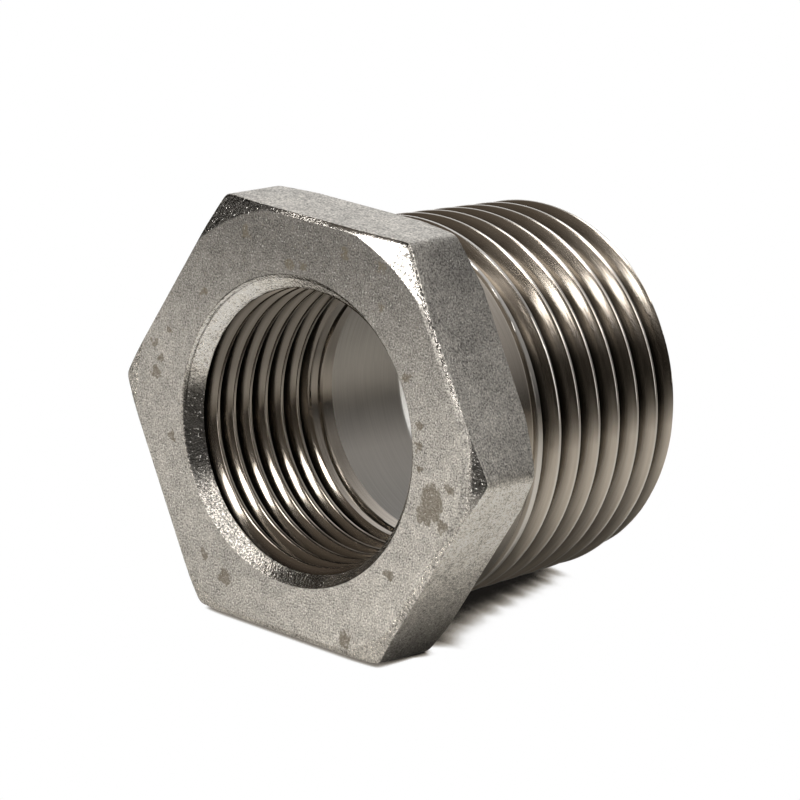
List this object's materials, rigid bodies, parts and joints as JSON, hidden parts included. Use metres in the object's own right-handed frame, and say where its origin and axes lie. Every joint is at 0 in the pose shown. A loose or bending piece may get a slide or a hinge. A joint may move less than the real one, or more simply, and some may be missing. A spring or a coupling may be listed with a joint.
{
  "type": "hex bushing",
  "caption": "Hexagon-headed reducing bushing with a taper pipe thread outside, a smaller one inside and a waterway right through.",
  "frame": {"origin": "on the thread axis, in the plane of the hexagon's front face", "axes": "+Y along the thread axis from the hexagon towards the male thread's end, +Z square to a flat of the hexagon, upwards"},
  "size_m": [0.0265, 0.0195, 0.023],
  "materials": {
    "stainless": "fine matte grain, turned threads, light brown stains"
  },
  "bodies": {
    "root": {"hex_bushing": "stainless"}
  },
  "joints": []
}
